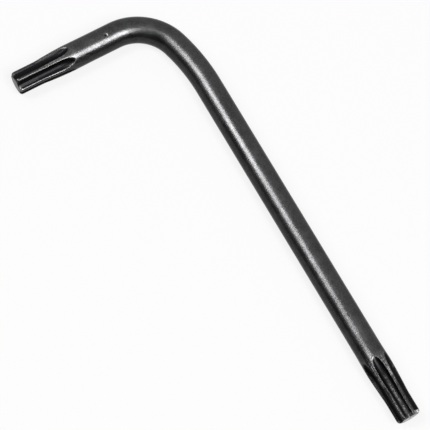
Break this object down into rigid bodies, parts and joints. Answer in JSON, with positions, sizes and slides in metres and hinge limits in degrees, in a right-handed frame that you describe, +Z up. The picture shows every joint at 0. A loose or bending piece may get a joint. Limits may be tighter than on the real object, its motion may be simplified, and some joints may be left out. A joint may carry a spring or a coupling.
{
  "type": "star-drive key",
  "caption": "L-shaped key bent from round steel rod, with a rounded star drive swaged on the end of each arm.",
  "frame": {"origin": "on the surface the key lies on, under the middle of its outline", "axes": "+X from the short arm towards the long tip, the short arm points along -Y, +Z up off the surface"},
  "size_m": [0.0546, 0.0202, 0.0031],
  "materials": {
    "steel": "satin black oxide, finely grained, worn brighter on the points of the long star"
  },
  "bodies": {
    "root": {"key": "steel"}
  },
  "joints": []
}
